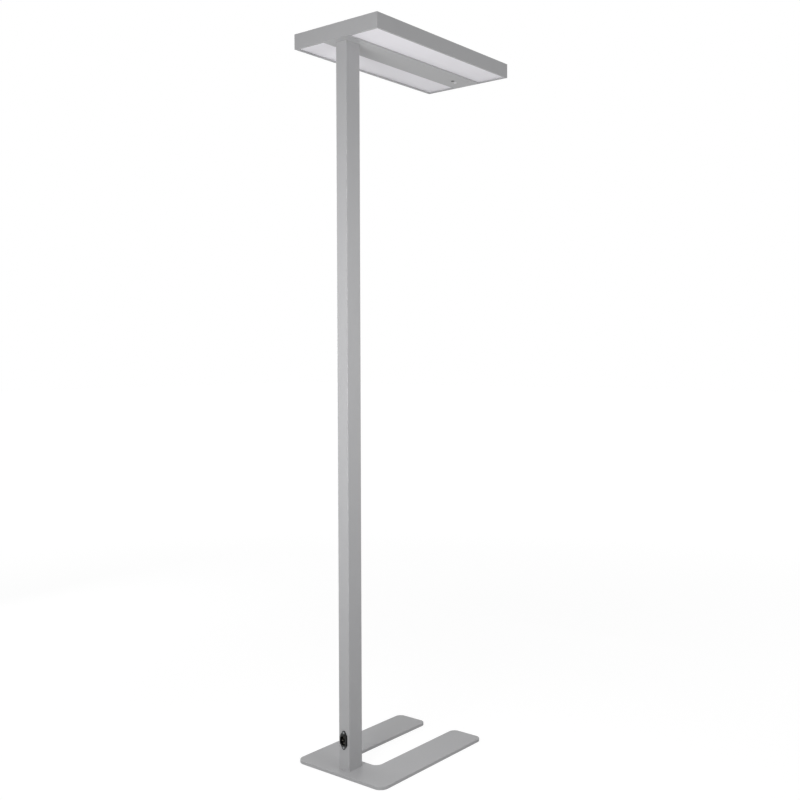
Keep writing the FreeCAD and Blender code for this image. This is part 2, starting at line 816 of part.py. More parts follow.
def terminal_block():
    rear = mast_y - 72
    front = rear - 21
    block = box(-27, 27, front, rear, bracket_top, bracket_top + 22)
    cuts = []
    for i in range(5):
        x = (i - 2) * 8
        cuts.append(post(2, x, (front + rear) / 2, bracket_top + 14, bracket_top + 23))
        cuts.append(placed(Part.makeCylinder(2, 7), (x, front - 1, bracket_top + 8), (0, 1, 0)))
    for x, y in block_screw_places():
        cuts.append(post(m3_shank + 0.2, x, y, bracket_top - 1, bracket_top + 23))
        cuts.append(post(m3_head + 0.2, x, y, bracket_top + 6, bracket_top + 23))
    return cut_all(block, cuts)


def terminal_block_screws():
    screw = pan_screw(m3_shank, m3_head, 10)
    return [placed(screw, (x, y, bracket_top + 6)) for x, y in block_screw_places()]


def earth_tag():
    x, y = earth_place()
    ring = post(3.6, x, y, bracket_top, bracket_top + 0.8)
    tail = box(x - 1.8, x + 1.8, y - 12, y, bracket_top, bracket_top + 0.8)
    barrel = placed(Part.makeCylinder(1.7, 6), (x, y - 10, bracket_top + 1.7), (0, -1, 0))
    return ring.fuse([tail, barrel]).cut(post(m3_shank + 0.1, x, y, bracket_top - 1, bracket_top + 2))


def earth_screw():
    x, y = earth_place()
    return placed(pan_screw(m3_shank, m3_head, 5), (x, y, bracket_top + 0.8))


def driver_screw_places():
    rear = mast_y - driver_front + driver_length
    return [(0, mast_y - driver_front - 6), (0, rear + 6)]


def led_driver():
    front = mast_y - driver_front
    rear = front + driver_length
    half = driver_width / 2
    low = channel_floor_top
    case = box(-half, half, front, rear, low, low + driver_height)
    case = case.makeFillet(2, [e for e in case.Edges if e.BoundBox.ZMin > low + 0.1])
    foot = box(-9, 9, front - 12, rear + 12, low, low + 2)
    driver = case.fuse(foot).removeSplitter()
    holes = [post(m3_shank + 0.2, x, y, low - 1, low + 3) for x, y in driver_screw_places()]
    return cut_all(driver, holes)


def driver_screws():
    screw = pan_screw(m3_shank, m3_head, 3.5)
    return [placed(screw, (x, y, channel_floor_top + 2)) for x, y in driver_screw_places()]


def straight_lead(radius, x, y0, y1, z):
    return placed(Part.makeCylinder(radius, y1 - y0), (x, y0, z), (0, 1, 0))


def driver_lead():
    rear = mast_y - 72 - 21
    front = mast_y - driver_front + driver_length
    return straight_lead(2.5, 0, front, rear, channel_floor_top + 11)


def control_lead():
    return straight_lead(1.5, 6, control_board_rear() - 2, mast_y - driver_front, pcb_top + 3)


def led_lead_level():
    return head_bottom + 19.5


def led_lead_y():
    return mast_y - driver_front - 32


def led_lead(radius=1.5, bend=12.0):
    """Right-hand lead from the driver's end through the channel's wall to a board."""
    x0 = 12.0
    z = led_lead_level()
    y0 = mast_y - driver_front
    y1 = led_lead_y()
    x1 = channel_width / 2 + 20
    middle = math.sqrt(0.5) * bend
    centre = V(x0 + bend, y1 + bend, z)
    run = Part.LineSegment(V(x0, y0, z), V(x0, y1 + bend, z)).toShape()
    turn = Part.Arc(V(x0, y1 + bend, z), centre + V(-middle, -middle, 0), V(x0 + bend, y1, z)).toShape()
    reach = Part.LineSegment(V(x0 + bend, y1, z), V(x1, y1, z)).toShape()
    ring = Part.Wire([Part.Circle(V(x0, y0, z), V(0, 1, 0), radius).toShape()])
    return Part.Wire([run, turn, reach]).makePipeShell([ring], True, False)


def board_connector():
    """Right-hand connector that hangs from the lower board and takes the lead's end."""
    x = channel_width / 2 + 20
    y = led_lead_y()
    high = tray_floor - board_thickness
    return box(x, x + 9, y - 5, y + 5, high - 5, high)


# ---------------------------------------------------------------- control board
def control_board_rear():
    return mast_y - 442


def standoff_places():
    rear = control_board_rear()
    return [(sx * 17, rear - d) for sx in (-1, 1) for d in (4, 56)]


def control_board():
    rear = control_board_rear()
    board = box(-21, 21, rear - 60, rear, pcb_bottom, pcb_top)
    board = board.fuse(box(1, 11, rear - 10, rear - 2, pcb_top, pcb_top + 6))
    board = board.fuse(box(-14, -6, rear - 36, rear - 28, pcb_top, pcb_top + 1.2)).removeSplitter()
    holes = [post(m3_shank + 0.2, x, y, pcb_bottom - 1, pcb_top + 1) for x, y in standoff_places()]
    return cut_all(board, holes)


def board_standoffs():
    """Round spacers pressed into the channel's floor."""
    pieces = []
    for x, y in standoff_places():
        spacer = post(2.8, x, y, channel_floor_top, pcb_bottom)
        spacer = spacer.fuse(post(1.6, x, y, channel_floor_top - sheet, channel_floor_top))
        pieces.append(spacer.cut(post(m3_shank + screw_clearance, x, y, pcb_bottom - 6, pcb_bottom + 1)))
    return group(pieces)


def control_board_screws():
    screw = pan_screw(m3_shank, m3_head - 0.2, 6)
    return group([placed(screw, (x, y, pcb_top)) for x, y in standoff_places()])


def tact_switch():
    y = mast_y - button_reach
    case = box(-3, 3, y - 3, y + 3, pcb_bottom - 3.5, pcb_bottom)
    return case.fuse(post(1.7, 0, y, pcb_bottom - 3.9, pcb_bottom - 3.4)).removeSplitter()


def light_sensor():
    x = sensor_side
    y = mast_y - sensor_reach
    return box(x - 2.5, x + 2.5, y - 2.5, y + 2.5, pcb_bottom - 1.2, pcb_bottom)


def dimmer_button():
    """Cap, retaining flange and stem on one axis."""
    y = mast_y - button_reach
    flange_low = channel_floor_top + button_flange_gap
    cap = post(button_radius, 0, y, head_bottom - button_proud, flange_low + 0.5)
    rim = [e for e in cap.Edges if e.BoundBox.ZMax < head_bottom - button_proud + 0.01]
    cap = cap.makeFillet(0.6, rim)
    flange = post(button_flange_radius, 0, y, flange_low, flange_low + button_flange_thickness)
    stem = post(1.8, 0, y, flange_low, head_bottom + 7.0)
    return cap.fuse([flange, stem]).removeSplitter()


def tangent_arc(start, corner, end):
    """Arc from start to end whose end tangents meet in corner."""
    middle = (start + end) * 0.5
    half_chord = (end - start).Length / 2
    rise = (corner - middle).Length
    half_turn = math.atan2(rise, half_chord)
    sagitta = half_chord * math.tan(half_turn / 2)
    return Part.Arc(start, middle + (corner - middle) * (sagitta / rise), end).toShape()


def two_arcs(start, start_way, end, end_way):
    """Two equal arcs that join two points, tangent to a unit direction at each end."""
    chord = end - start
    ways = start_way + end_way
    spare = 4 - ways.dot(ways)
    along = chord.dot(ways)
    reach = (math.sqrt(along ** 2 + spare * chord.dot(chord)) - along) / spare
    corners = (start + start_way * reach, end - end_way * reach)
    joint = (corners[0] + corners[1]) * 0.5
    return [tangent_arc(start, corners[0], joint), tangent_arc(joint, corners[1], end)]


def button_spring():
    """Open coil between the button's flange and the control board, one unbroken wire."""
    y = mast_y - button_reach
    seat = spring_wire_radius + 0.05
    low = channel_floor_top + button_flange_gap + button_flange_thickness + seat
    high = pcb_bottom - seat
    climb = (high - low) / (2 * math.pi * spring_turns)
    quarters = 4 * spring_turns
    way_length = math.hypot(spring_radius, climb)
    points = []
    ways = []
    for i in range(quarters + 1):
        angle = math.pi / 2 * i
        across, along = math.cos(angle), math.sin(angle)
        points.append(V(spring_radius * across, y + spring_radius * along, low + climb * angle))
        ways.append(V(-spring_radius * along, spring_radius * across, climb) * (1 / way_length))
    arcs = []
    for i in range(quarters):
        arcs += two_arcs(points[i], ways[i], points[i + 1], ways[i + 1])
    path = Part.Wire(arcs)
    ring = Part.Wire([Part.Circle(points[0], ways[0], spring_wire_radius).toShape()])
    coil = path.makePipeShell([ring], True, False)
    print("button spring gap between turns", round(points[4].z - points[0].z - 2 * spring_wire_radius, 3),
          "volume over section times length",
          round(coil.Volume / (math.pi * spring_wire_radius ** 2 * path.Length), 4))
    return coil


def sensor_lens():
    """Opal lens with a flange behind the cover and a light guide to the sensor."""
    x = sensor_side
    y = mast_y - sensor_reach
    cap = post(lens_radius, x, y, head_bottom - 0.6, channel_floor_top + 0.5)
    rim = [e for e in cap.Edges if e.BoundBox.ZMax < head_bottom - 0.59]
    cap = cap.makeFillet(0.5, rim)
    flange = post(lens_flange_radius, x, y, channel_floor_top, channel_floor_top + 1.2)
    guide = post(2.0, x, y, channel_floor_top, pcb_bottom - 1.3)
    return cap.fuse([flange, guide]).removeSplitter()


# ---------------------------------------------------------------- nodes
def build_foot():
    export("base_plate", base_plate())
    export("foot_pads", foot_pads())
    export("mast_foot_screws", mast_foot_screws())


def build_mast():
    export("mast_profile", mast_profile())
    export("inlet_body", inlet_body())
    export("inlet_pins", inlet_pins())
    export("inlet_earth_pin", inlet_earth_pin())
    export("inlet_screws", inlet_screws())
    export("inlet_nuts", inlet_nuts())
    export("tab_receptacles", tab_receptacles())
    export("inlet_boot", inlet_boot())
    export("mains_lead", mains_lead())
    export("lead_grommet", lead_grommet())


def build_head_frame():
    rail = drilled_for_cleats(side_rail())
    export("frame_rail_right", rail)
    export("frame_rail_left", mirrored(rail))
    export("frame_rail_front", drilled_for_cleats(end_rail(head_front, 1, front_lip_width)))
    export("frame_rail_rear", drilled_for_cleats(end_rail(head_rear, -1, rear_lip_width)))
    export("corner_cleats", corner_cleats())
    export("cleat_screws", cleat_screws())
    export("spine_cover", spine_cover())
    export("cover_studs", cover_studs())
    export("stud_nuts", stud_nuts())
    export("centre_channel", centre_channel())
    export("channel_end_screws", channel_end_screws())
    export("head_bracket", head_bracket())
    export("head_bracket_screws", head_bracket_screws())
    export("top_cover", top_cover())
    export("top_cover_screws", top_cover_screws())


def build_light_side(side, turned):
    """One side's tray, boards, diodes and panels; turned gives the side's copy."""
    down = tray_floor - board_thickness
    up = tray_floor + tray_sheet
    export("gear_tray_" + side, turned(gear_tray()))
    export("led_board_down_" + side, turned(led_board(down)))
    export("led_board_up_" + side, turned(led_board(up)))
    export("leds_down_" + side, turned(leds(down - led_height)))
    export("leds_up_" + side, turned(leds(up + board_thickness)))
    export("diffuser_lower_" + side, turned(panel(head_bottom + recess_depth)))
    export("diffuser_upper_" + side, turned(panel(head_bottom + ledge_top)))


def build_gear():
    rivets = board_rivets()
    export("board_rivets", group(rivets + [mirrored(r) for r in rivets]))
    export("tray_screws", tray_screws())
    export("terminal_block", terminal_block())
    export("earth_tag", earth_tag())
    export("led_driver", led_driver())
    export("gear_screws", group(terminal_block_screws() + driver_screws() + [earth_screw()]))
    export("gear_leads", group([driver_lead(), control_lead()]))
    export("led_leads", group(both_sides(led_lead())))
    export("board_connectors", group(both_sides(board_connector())))


def build_controls():
    export("control_board", control_board())
    export("board_standoffs", board_standoffs())
    export("control_board_screws", control_board_screws())
    export("tact_switch", tact_switch())
    export("light_sensor", light_sensor())
    export("dimmer_button", dimmer_button())
    export("button_spring", button_spring())
    export("sensor_lens", sensor_lens())


def build_lamp():
    build_foot()
    build_mast()
    build_head_frame()
    build_light_side("right", lambda shape: shape)
    build_light_side("left", mirrored)
    build_gear()
    build_controls()


build_lamp()
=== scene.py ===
import math

import bpy
from bpy.props import FloatProperty, FloatVectorProperty, IntProperty, PointerProperty
from mathutils import Matrix, Vector


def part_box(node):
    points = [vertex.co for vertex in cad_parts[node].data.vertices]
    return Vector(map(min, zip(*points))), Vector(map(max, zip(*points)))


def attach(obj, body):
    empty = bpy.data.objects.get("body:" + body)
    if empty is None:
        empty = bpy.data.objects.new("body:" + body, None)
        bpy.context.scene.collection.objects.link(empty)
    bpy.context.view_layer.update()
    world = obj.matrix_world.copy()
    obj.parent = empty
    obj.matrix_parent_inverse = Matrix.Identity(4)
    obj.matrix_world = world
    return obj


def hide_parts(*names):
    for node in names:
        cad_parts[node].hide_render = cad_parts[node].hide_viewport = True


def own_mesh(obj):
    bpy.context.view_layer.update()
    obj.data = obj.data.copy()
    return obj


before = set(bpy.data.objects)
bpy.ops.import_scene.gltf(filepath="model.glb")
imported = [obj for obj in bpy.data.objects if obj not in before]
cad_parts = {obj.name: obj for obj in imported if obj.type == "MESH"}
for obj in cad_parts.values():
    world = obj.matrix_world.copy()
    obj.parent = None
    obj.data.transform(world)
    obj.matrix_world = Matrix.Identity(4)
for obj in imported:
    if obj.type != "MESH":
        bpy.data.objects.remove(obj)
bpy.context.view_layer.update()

bl_info = {
    "name": "Office floor lamp",
    "version": (1, 0, 0),
    "blender": (4, 5, 0),
    "location": "3D View > Sidebar > Lamp",
    "description": "Finishes, coil spring and studio for an office floor lamp",
    "category": "Object",
}

MM = 0.001


# ------------------------------------------------------------------ colours and nodes
WHITE = (1.0, 1.0, 1.0, 1.0)
# Sockets of a Mix node that mixes colours
MIX_FACTOR, MIX_FIRST, MIX_SECOND, MIX_RESULT = 0, 6, 7, 2
# Character of the slow drift of tone, and of the fine relief
BLOTCH = {"Detail": 3.0, "Roughness": 0.55}
GRAIN = {"Detail": 2.0, "Roughness": 0.6}
# Roughness varies by this much to either side; clear films are all equally smooth
ROUGHNESS_SPREAD = 0.04
CLEAR_FILM_ROUGHNESS = 0.1


def linear(hex_colour):
    """An sRGB hex colour as linear red, green, blue and alpha."""
    value = hex_colour.lstrip("#")
    channels = [int(value[i:i + 2], 16) / 255 for i in (0, 2, 4)]
    parts = [c / 12.92 if c <= 0.04045 else ((c + 0.055) / 1.055) ** 2.4 for c in channels]
    return (*parts, 1.0)


def as_linear(colour):
    """Linear colour of a hex string, or of a colour from the panel, which is linear already."""
    return linear(colour) if isinstance(colour, str) else tuple(colour)


def add_node(tree, kind, options=None, values=None, links=None):
    """Add a node to a tree, with its options, its input values and its incoming links."""
    node = tree.nodes.new(kind)
    for name, value in (options or {}).items():
        setattr(node, name, value)
    for socket, value in (values or {}).items():
        node.inputs[socket].default_value = value
    for socket, source in (links or {}).items():
        tree.links.new(source, node.inputs[socket])
    return node


def new_material(name):
    """Empty material and its node tree."""
    material = bpy.data.materials.new(name)
    material.use_nodes = True
    material.node_tree.nodes.clear()
    return material, material.node_tree


def per_metre(size_mm):
    """Noise scale whose features are about size_mm across."""
    return 1.0 / (size_mm * MM)


def surface(name, dark, light, roughness, blotch_mm, grain_mm, grain_depth_mm,
            metallic=0.0, ior=1.5, clear_film=0.0, stretch=(1.0, 1.0, 1.0)):
    """Opaque finish: a tone that drifts between two colours, and a fine relief."""
    material, tree = new_material(name)
    place = add_node(tree, "ShaderNodeTexCoord")
    turned = add_node(tree, "ShaderNodeMapping", values={"Scale": stretch},
                      links={"Vector": place.outputs["Object"]})
    blotch = add_node(tree, "ShaderNodeTexNoise",
                      values={"Scale": per_metre(blotch_mm), **BLOTCH},
                      links={"Vector": turned.outputs["Vector"]})
    grain = add_node(tree, "ShaderNodeTexNoise",
                     values={"Scale": per_metre(grain_mm), **GRAIN},
                     links={"Vector": turned.outputs["Vector"]})
    tone = add_node(tree, "ShaderNodeMix", {"data_type": "RGBA"},
                    {MIX_FIRST: as_linear(dark), MIX_SECOND: as_linear(light)},
                    {MIX_FACTOR: blotch.outputs["Fac"]})
    gloss = add_node(tree, "ShaderNodeMapRange",
                     values={"To Min": roughness - ROUGHNESS_SPREAD,
                             "To Max": roughness + ROUGHNESS_SPREAD},
                     links={"Value": grain.outputs["Fac"]})
    relief = add_node(tree, "ShaderNodeBump",
                      values={"Strength": 1.0, "Distance": grain_depth_mm * MM},
                      links={"Height": grain.outputs["Fac"]})
    shader = add_node(tree, "ShaderNodeBsdfPrincipled",
                      values={"Metallic": metallic, "IOR": ior, "Coat Weight": clear_film,
                              "Coat Roughness": CLEAR_FILM_ROUGHNESS},
                      links={"Base Color": tone.outputs[MIX_RESULT],
                             "Roughness": gloss.outputs["Result"],
                             "Normal": relief.outputs["Normal"]})
    add_node(tree, "ShaderNodeOutputMaterial", links={"Surface": shader.outputs["BSDF"]})
    return material


def dress(material, *nodes):
    """Give CAD nodes a material in all their slots."""
    for name in nodes:
        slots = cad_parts[name].material_slots
        if not slots:
            raise RuntimeError(name + " has no material slot")
        for slot in slots:
            slot.link = "OBJECT"
            slot.material = material


# ------------------------------------------------------------------ properties
class LampProperties(bpy.types.PropertyGroup):
    """Sizes and colours that a user would change."""
    coat_dark: FloatVectorProperty(
        name="Coat, darker tone", description="Darker of the two tones of the powder coat",
        default=linear("#A2A2A4"), min=0.0, max=1.0, size=4, subtype="COLOR")
    coat_light: FloatVectorProperty(
        name="Coat, lighter tone", description="Lighter of the two tones of the powder coat",
        default=linear("#A7A7A8"), min=0.0, max=1.0, size=4, subtype="COLOR")
    panel_dark: FloatVectorProperty(
        name="Panel, darker tone", description="Darker of the two tones of the opal panels",
        default=linear("#E5E3E8"), min=0.0, max=1.0, size=4, subtype="COLOR")
    panel_light: FloatVectorProperty(
        name="Panel, lighter tone", description="Lighter of the two tones of the opal panels",
        default=linear("#E9E7EC"), min=0.0, max=1.0, size=4, subtype="COLOR")
    coat_roughness: FloatProperty(
        name="Coat roughness", description="Roughness of the powder coat",
        default=0.48, min=0.05, max=1.0, subtype="FACTOR")
    coat_grain: FloatProperty(
        name="Coat grain", description="Size of the orange peel in the powder coat",
        default=1.4 * MM, min=0.3 * MM, max=6.0 * MM, unit="LENGTH", precision=4)
    spring_turns: IntProperty(
        name="Spring turns", description="Turns of the coil above the push-button",
        default=5, min=2, max=12)
    spring_wire: FloatProperty(
        name="Spring wire", description="Diameter of the spring's wire",
        default=0.5 * MM, min=0.2 * MM, max=1.0 * MM, unit="LENGTH", precision=4)
    world_strength: FloatProperty(
        name="World", description="Strength of the even light from all around",
        default=0.25, min=0.0, max=4.0)
    floor_size: FloatProperty(
        name="Floor", description="Side of the square studio floor",
        default=60.0, min=4.0, unit="LENGTH")


def settings():
    """Values as the user has them in the file."""
    return bpy.context.scene.lamp_settings


# ------------------------------------------------------------------ finishes
def powder_coated_metal(name):
    """Silver-grey polyester powder coat, baked on steel plate or aluminium extrusion.

    To the eye: an even satin grey whose tone drifts by a step or two over a hand's width,
    with broad soft highlights. Real orange peel is about 0.5 mm across and 10 micrometres
    deep, too fine to show from here, so it is drawn about three times as coarse. The IOR is
    a little under the usual 1.5 of a coat, matched to the weak gloss in the photo.
    """
    chosen = settings()
    return surface(name, chosen.coat_dark, chosen.coat_light, roughness=chosen.coat_roughness,
                   blotch_mm=90.0, grain_mm=chosen.coat_grain / MM, grain_depth_mm=0.010,
                   ior=1.4)


def opal_acrylic():
    """Cast opal acrylic sheet, 3 mm thick, with a satin outer face.

    To the eye: milky white that is as bright at its edges as in its middle, because light
    spreads inside the sheet; its satin face blurs whatever it reflects. The satin's pits are
    under 0.1 mm, so they are drawn at 0.9 mm and left very shallow.
    """
    chosen = settings()
    return surface("opal_acrylic_sheet", chosen.panel_dark, chosen.panel_light, roughness=0.45,
                   blotch_mm=160.0, grain_mm=0.9, grain_depth_mm=0.001, ior=1.49)


def frosted_lens():
    """Sensor lens moulded in frosted polycarbonate: a greyer white than the opal panels.

    To the eye: a pale satin disc, because some of the light passes through to the dark sensor
    behind it.
    """
    return surface("frosted_polycarbonate_lens", "#D8D6DB", "#DEDCE1", roughness=0.45,
                   blotch_mm=6.0, grain_mm=0.5, grain_depth_mm=0.002, ior=1.58)


def moulded_black():
    """Injection-moulded black polyamide from a spark-eroded mould.

    To the eye: near-black, and matt enough that the socket's floor stays dark, with a fine
    leathery grain of about 0.5 mm.
    """
    return surface("moulded_black_polyamide", "#070707", "#0F0F0F", roughness=0.42,
                   blotch_mm=6.0, grain_mm=0.5, grain_depth_mm=0.02)


def moulded_charcoal():
    """Injection-moulded charcoal ABS of the push-button: a soft satin dark grey."""
    return surface("moulded_charcoal_abs", "#3A3A3C", "#454547", roughness=0.5, blotch_mm=4.0,
                   grain_mm=0.4, grain_depth_mm=0.015)


def nickel_plate_painted_shade():
    """Nickel over stamped brass: warm grey metal, its tone darkened below bright nickel as painted
    shade for the pins deep in the socket.
    """
    # Both tones are painted shade: darker than plated nickel, for pins that sit in the socket's
    # shade.
    return surface("nickel_plated_brass", "#6F6C66", "#7E7A73", roughness=0.34, blotch_mm=3.0,
                   grain_mm=0.8, grain_depth_mm=0.003, metallic=1.0)


def zinc_plate_painted_shade():
    """Zinc plating on steel screws: cool, slightly cloudy grey metal, its tone darkened below
    bright zinc as painted shade for the screws in the shade at the inlet.
    """
    # Both tones are painted shade: darker than plated zinc, set for the screws in the inlet's
    # shade.
    return surface("zinc_plated_steel", "#85888A", "#94979A", roughness=0.38, blotch_mm=4.0,
                   grain_mm=0.6, grain_depth_mm=0.004, metallic=1.0)


def galvanised():
    """Hot-dip galvanised sheet: dull metal with zinc crystals of about 14 mm."""
    return surface("galvanised_sheet", "#9DA3A5", "#B4B8B9", roughness=0.42, blotch_mm=14.0,
                   grain_mm=5.0, grain_depth_mm=0.003, metallic=1.0)


def mill_aluminium():
    """Aluminium as it leaves the extrusion press: pale, with die lines drawn along it."""
    return surface("mill_finish_aluminium", "#BFC0C2", "#CBCBCC", roughness=0.35, blotch_mm=12.0,
                   grain_mm=0.7, grain_depth_mm=0.004, metallic=1.0, stretch=(1.0, 0.08, 1.0))


def spring_wire():
    """Patented carbon-steel wire, drawn and oiled: dark smooth metal with a close shine."""
    return surface("drawn_spring_wire", "#86878A", "#97989A", roughness=0.3, blotch_mm=2.0,
                   grain_mm=0.3, grain_depth_mm=0.002, metallic=1.0)


def black_rubber():
    """Moulded nitrile rubber: black with no shine, and a bloom that greys it in patches."""
    return surface("black_nitrile_rubber", "#151515", "#1E1E1E", roughness=0.75, blotch_mm=8.0,
                   grain_mm=0.8, grain_depth_mm=0.02)


def soft_pvc(name, dark, light):
    """Extruded soft PVC sheath: a waxy half-shine over a slightly uneven skin."""
    return surface(name, dark, light, roughness=0.5, blotch_mm=15.0, grain_mm=1.2,
                   grain_depth_mm=0.01)


def solder_mask(name, dark, light):
    """Screened solder mask on a circuit board: flat colour under a glassy clear film."""
    return surface(name, dark, light, roughness=0.3, blotch_mm=20.0, grain_mm=1.0,
                   grain_depth_mm=0.004, clear_film=0.3)


def phosphor():
    """Diode packages filled with phosphor in silicone: egg-yolk yellow and slightly wet."""
    return surface("led_phosphor_in_silicone", "#D9B545", "#E8C75A", roughness=0.35,
                   blotch_mm=2.0, grain_mm=0.3, grain_depth_mm=0.01)


def white_paint():
    """Baked white reflector paint on aluminium sheet: clean white with a low sheen."""
    return surface("white_reflector_paint", "#E6E6E2", "#EEEEEA", roughness=0.45, blotch_mm=60.0,
                   grain_mm=1.2, grain_depth_mm=0.006)


def moulded(name, dark, light):
    """Injection-moulded technical plastic: one plain colour with a light satin texture."""
    return surface(name, dark, light, roughness=0.45, blotch_mm=10.0, grain_mm=0.7,
                   grain_depth_mm=0.012)


# ------------------------------------------------------------------ coil spring
# Fineness of the coil, and the number of faces below which it has failed to grow
ARCS_PER_TURN = 36
WIRE_SIDES = 12
FEWEST_FACES = 100


def tree_input(tree, name, kind, value):
    """Named input of a node group, with its default; returns its identifier."""
    socket = tree.interface.new_socket(name, in_out="INPUT", socket_type=kind)
    socket.default_value = value
    return socket.identifier


def coil_tree(material):
    """Node tree of a coil of round wire, from its turns, radius, height and wire."""
    tree = bpy.data.node_groups.new("coil_of_wire", "GeometryNodeTree")
    names = {
        "turns": tree_input(tree, "Turns", "NodeSocketFloat", 5.0),
        "radius": tree_input(tree, "Radius", "NodeSocketFloat", 5.0 * MM),
        "height": tree_input(tree, "Height", "NodeSocketFloat", 6.0 * MM),
        "wire": tree_input(tree, "Wire radius", "NodeSocketFloat", 0.25 * MM),
        "foot": tree_input(tree, "Foot", "NodeSocketVector", (0.0, 0.0, 0.0)),
    }
    tree.interface.new_socket("Geometry", in_out="OUTPUT", socket_type="NodeSocketGeometry")
    given = add_node(tree, "NodeGroupInput")
    line = add_node(tree, "GeometryNodeCurveSpiral", values={"Resolution": ARCS_PER_TURN},
                    links={"Rotations": given.outputs["Turns"],
                           "Start Radius": given.outputs["Radius"],
                           "End Radius": given.outputs["Radius"],
                           "Height": given.outputs["Height"]})
    ring = add_node(tree, "GeometryNodeCurvePrimitiveCircle", values={"Resolution": WIRE_SIDES},
                    links={"Radius": given.outputs["Wire radius"]})
    tube = add_node(tree, "GeometryNodeCurveToMesh", values={"Fill Caps": True},
                    links={"Curve": line.outputs["Curve"], "Profile Curve": ring.outputs["Curve"]})
    placed = add_node(tree, "GeometryNodeTransform",
                      links={"Geometry": tube.outputs["Mesh"],
                             "Translation": given.outputs["Foot"]})
    real = add_node(tree, "GeometryNodeRealizeInstances",
                    links={"Geometry": placed.outputs["Geometry"]})
    finished = add_node(tree, "GeometryNodeSetMaterial", values={"Material": material},
                        links={"Geometry": real.outputs["Geometry"]})
    add_node(tree, "NodeGroupOutput", links={"Geometry": finished.outputs["Geometry"]})
    return tree, names


def grown(name, tree, inputs):
    """Plain mesh object from a node tree, with no modifier left on it."""
    seed = bpy.data.objects.new(name + "_seed", bpy.data.meshes.new(name + "_seed"))
    bpy.context.scene.collection.objects.link(seed)
    modifier = seed.modifiers.new("shape", "NODES")
    modifier.node_group = tree
    for identifier, value in inputs.items():
        modifier[identifier] = value
    view = bpy.context.evaluated_depsgraph_get()
    mesh = bpy.data.meshes.new_from_object(seed.evaluated_get(view), depsgraph=view)
    seed.modifiers.remove(modifier)
    bpy.data.objects.remove(seed)
    mesh.name = name
    piece = bpy.data.objects.new(name, mesh)
    bpy.context.scene.collection.objects.link(piece)
    return piece


# ------------------------------------------------------------------ operators
class LAMP_OT_foot(bpy.types.Operator):
    """Finish the foot plate, its pads and the screws of the mast"""
    bl_idname = "lamp.foot"
    bl_label = "Foot"

    def execute(self, context):
        dress(powder_coated_metal("powder_coated_steel_plate"), "base_plate")
        dress(black_rubber(), "foot_pads", "lead_grommet")
        dress(zinc_plate_painted_shade(), "mast_foot_screws")
        return {"FINISHED"}


class LAMP_OT_mast(bpy.types.Operator):
    """Finish the mast and the lead inside it"""
    bl_idname = "lamp.mast"
    bl_label = "Mast"

    def execute(self, context):
        dress(powder_coated_metal("powder_coated_mast_extrusion"), "mast_profile")
        dress(soft_pvc("black_pvc_sheath", "#181818", "#222222"), "mains_lead", "inlet_boot")
        return {"FINISHED"}


class LAMP_OT_inlet(bpy.types.Operator):
    """Finish the mains inlet low on the back of the mast"""
    bl_idname = "lamp.inlet"
    bl_label = "Mains inlet"

    def execute(self, context):
        dress(moulded_black(), "inlet_body")
        # The pins' nickel carries painted shade for the inside of the socket.
        dress(nickel_plate_painted_shade(), "inlet_pins", "inlet_earth_pin", "tab_receptacles", "earth_tag")
        # The screws' zinc carries painted shade.
        dress(zinc_plate_painted_shade(), "inlet_screws", "inlet_nuts")
        return {"FINISHED"}


class LAMP_OT_head(bpy.types.Operator):
    """Finish the head's frame, its covers and the channel in its middle"""
    bl_idname = "lamp.head"
    bl_label = "Head frame"

    def execute(self, context):
        coat = powder_coated_metal("powder_coated_head_frame")
        dress(coat, "frame_rail_left", "frame_rail_right", "frame_rail_front",
              "frame_rail_rear", "spine_cover", "top_cover")
        dress(mill_aluminium(), "corner_cleats")
        dress(galvanised(), "centre_channel", "head_bracket")
        dress(zinc_plate_painted_shade(), "cleat_screws", "cover_studs", "stud_nuts", "channel_end_screws",
              "head_bracket_screws", "top_cover_screws")
        return {"FINISHED"}


class LAMP_OT_light(bpy.types.Operator):
    """Finish the panels, trays, boards and diodes"""
    bl_idname = "lamp.light"
    bl_label = "Light panels"

    def execute(self, context):
        for side in ("left", "right"):
            dress(opal_acrylic(), "diffuser_lower_" + side, "diffuser_upper_" + side)
            dress(white_paint(), "gear_tray_" + side)
            mask = solder_mask("white_solder_mask", "#E9EAE8", "#F0F1EF")
            dress(mask, "led_board_down_" + side, "led_board_up_" + side)
            dress(phosphor(), "leds_down_" + side, "leds_up_" + side)
        dress(moulded("white_nylon", "#DCDCD6", "#E6E6E1"), "board_rivets", "board_connectors")
        dress(zinc_plate_painted_shade(), "tray_screws")
        return {"FINISHED"}


class LAMP_OT_gear(bpy.types.Operator):
    """Finish the electrical gear in the channel"""
    bl_idname = "lamp.gear"
    bl_label = "Electrical gear"

    def execute(self, context):
        dress(moulded("white_polycarbonate", "#DFDFDB", "#E8E8E5"), "led_driver")
        dress(moulded("grey_polyamide", "#76787A", "#828486"), "terminal_block")
        dress(soft_pvc("white_pvc_sheath", "#D5D5D0", "#E0E0DC"), "gear_leads", "led_leads")
        dress(zinc_plate_painted_shade(), "gear_screws", "control_board_screws", "board_standoffs")
        dress(solder_mask("green_solder_mask", "#10502A", "#186236"), "control_board")
        dress(moulded_black(), "tact_switch")
        dress(moulded("dark_sensor_resin", "#2A2020", "#332828"), "light_sensor")
        return {"FINISHED"}


